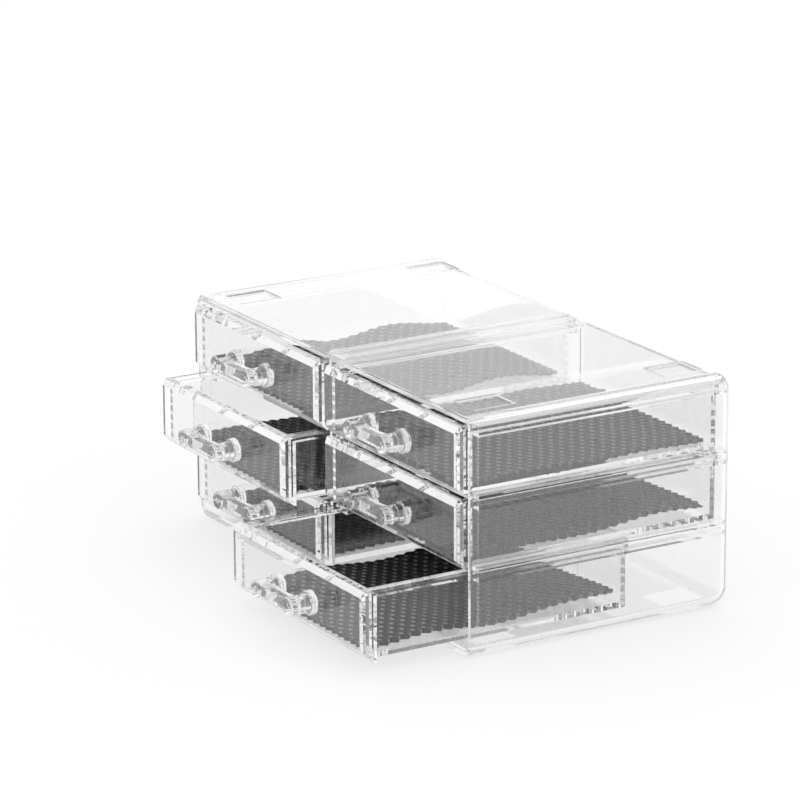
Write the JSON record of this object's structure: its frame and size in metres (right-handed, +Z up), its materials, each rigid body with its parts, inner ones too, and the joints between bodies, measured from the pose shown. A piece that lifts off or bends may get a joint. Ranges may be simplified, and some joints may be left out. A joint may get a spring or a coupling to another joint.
{
  "type": "jewelry drawer organizer",
  "caption": "Clear tabletop case with two columns of bevelled pull-out drawers, bridge handles and dark knitted liners for jewellery.",
  "frame": {"origin": "centre of the case's footprint, on the surface that it stands on", "axes": "+X to the right as seen from the front, +Y to the back, +Z up; drawers open along -Y"},
  "size_m": [0.24, 0.1995, 0.1083],
  "materials": {
    "clear_case": "clear gloss plastic",
    "clear_drawer": "clear gloss plastic",
    "clear_handle": "clear gloss plastic",
    "liner_fabric": "knitted, matte"
  },
  "bodies": {
    "case": {"case_shell": "clear_case", "center_divider": "clear_case"},
    "top_left_drawer": {"drawer_top_left": "clear_drawer", "handle_top_left": "clear_handle", "liner_top_left": "liner_fabric"},
    "top_right_drawer": {"drawer_top_right": "clear_drawer", "handle_top_right": "clear_handle", "liner_top_right": "liner_fabric"},
    "middle_left_drawer": {"drawer_middle_left": "clear_drawer", "handle_middle_left": "clear_handle", "liner_middle_left": "liner_fabric"},
    "middle_right_drawer": {"drawer_middle_right": "clear_drawer", "handle_middle_right": "clear_handle", "liner_middle_right": "liner_fabric"},
    "bottom_left_drawer": {"drawer_bottom_left": "clear_drawer", "handle_bottom_left": "clear_handle", "liner_bottom_left": "liner_fabric"},
    "bottom_right_drawer": {"drawer_bottom_right": "clear_drawer", "handle_bottom_right": "clear_handle", "liner_bottom_right": "liner_fabric"}
  },
  "joints": [
    {"name": "top_left_slide", "type": "slide", "parent": "case", "child": "top_left_drawer", "axis": [0, -1, 0], "range_m": [0, 0.11]},
    {"name": "top_right_slide", "type": "slide", "parent": "case", "child": "top_right_drawer", "axis": [0, -1, 0], "range_m": [0, 0.11]},
    {"name": "middle_left_slide", "type": "slide", "parent": "case", "child": "middle_left_drawer", "axis": [0, -1, 0], "range_m": [-0.0175, 0.0925]},
    {"name": "middle_right_slide", "type": "slide", "parent": "case", "child": "middle_right_drawer", "axis": [0, -1, 0], "range_m": [0, 0.11]},
    {"name": "bottom_left_slide", "type": "slide", "parent": "case", "child": "bottom_left_drawer", "axis": [0, -1, 0], "range_m": [0, 0.11]},
    {"name": "bottom_right_slide", "type": "slide", "parent": "case", "child": "bottom_right_drawer", "axis": [0, -1, 0], "range_m": [-0.047, 0.063]}
  ]
}
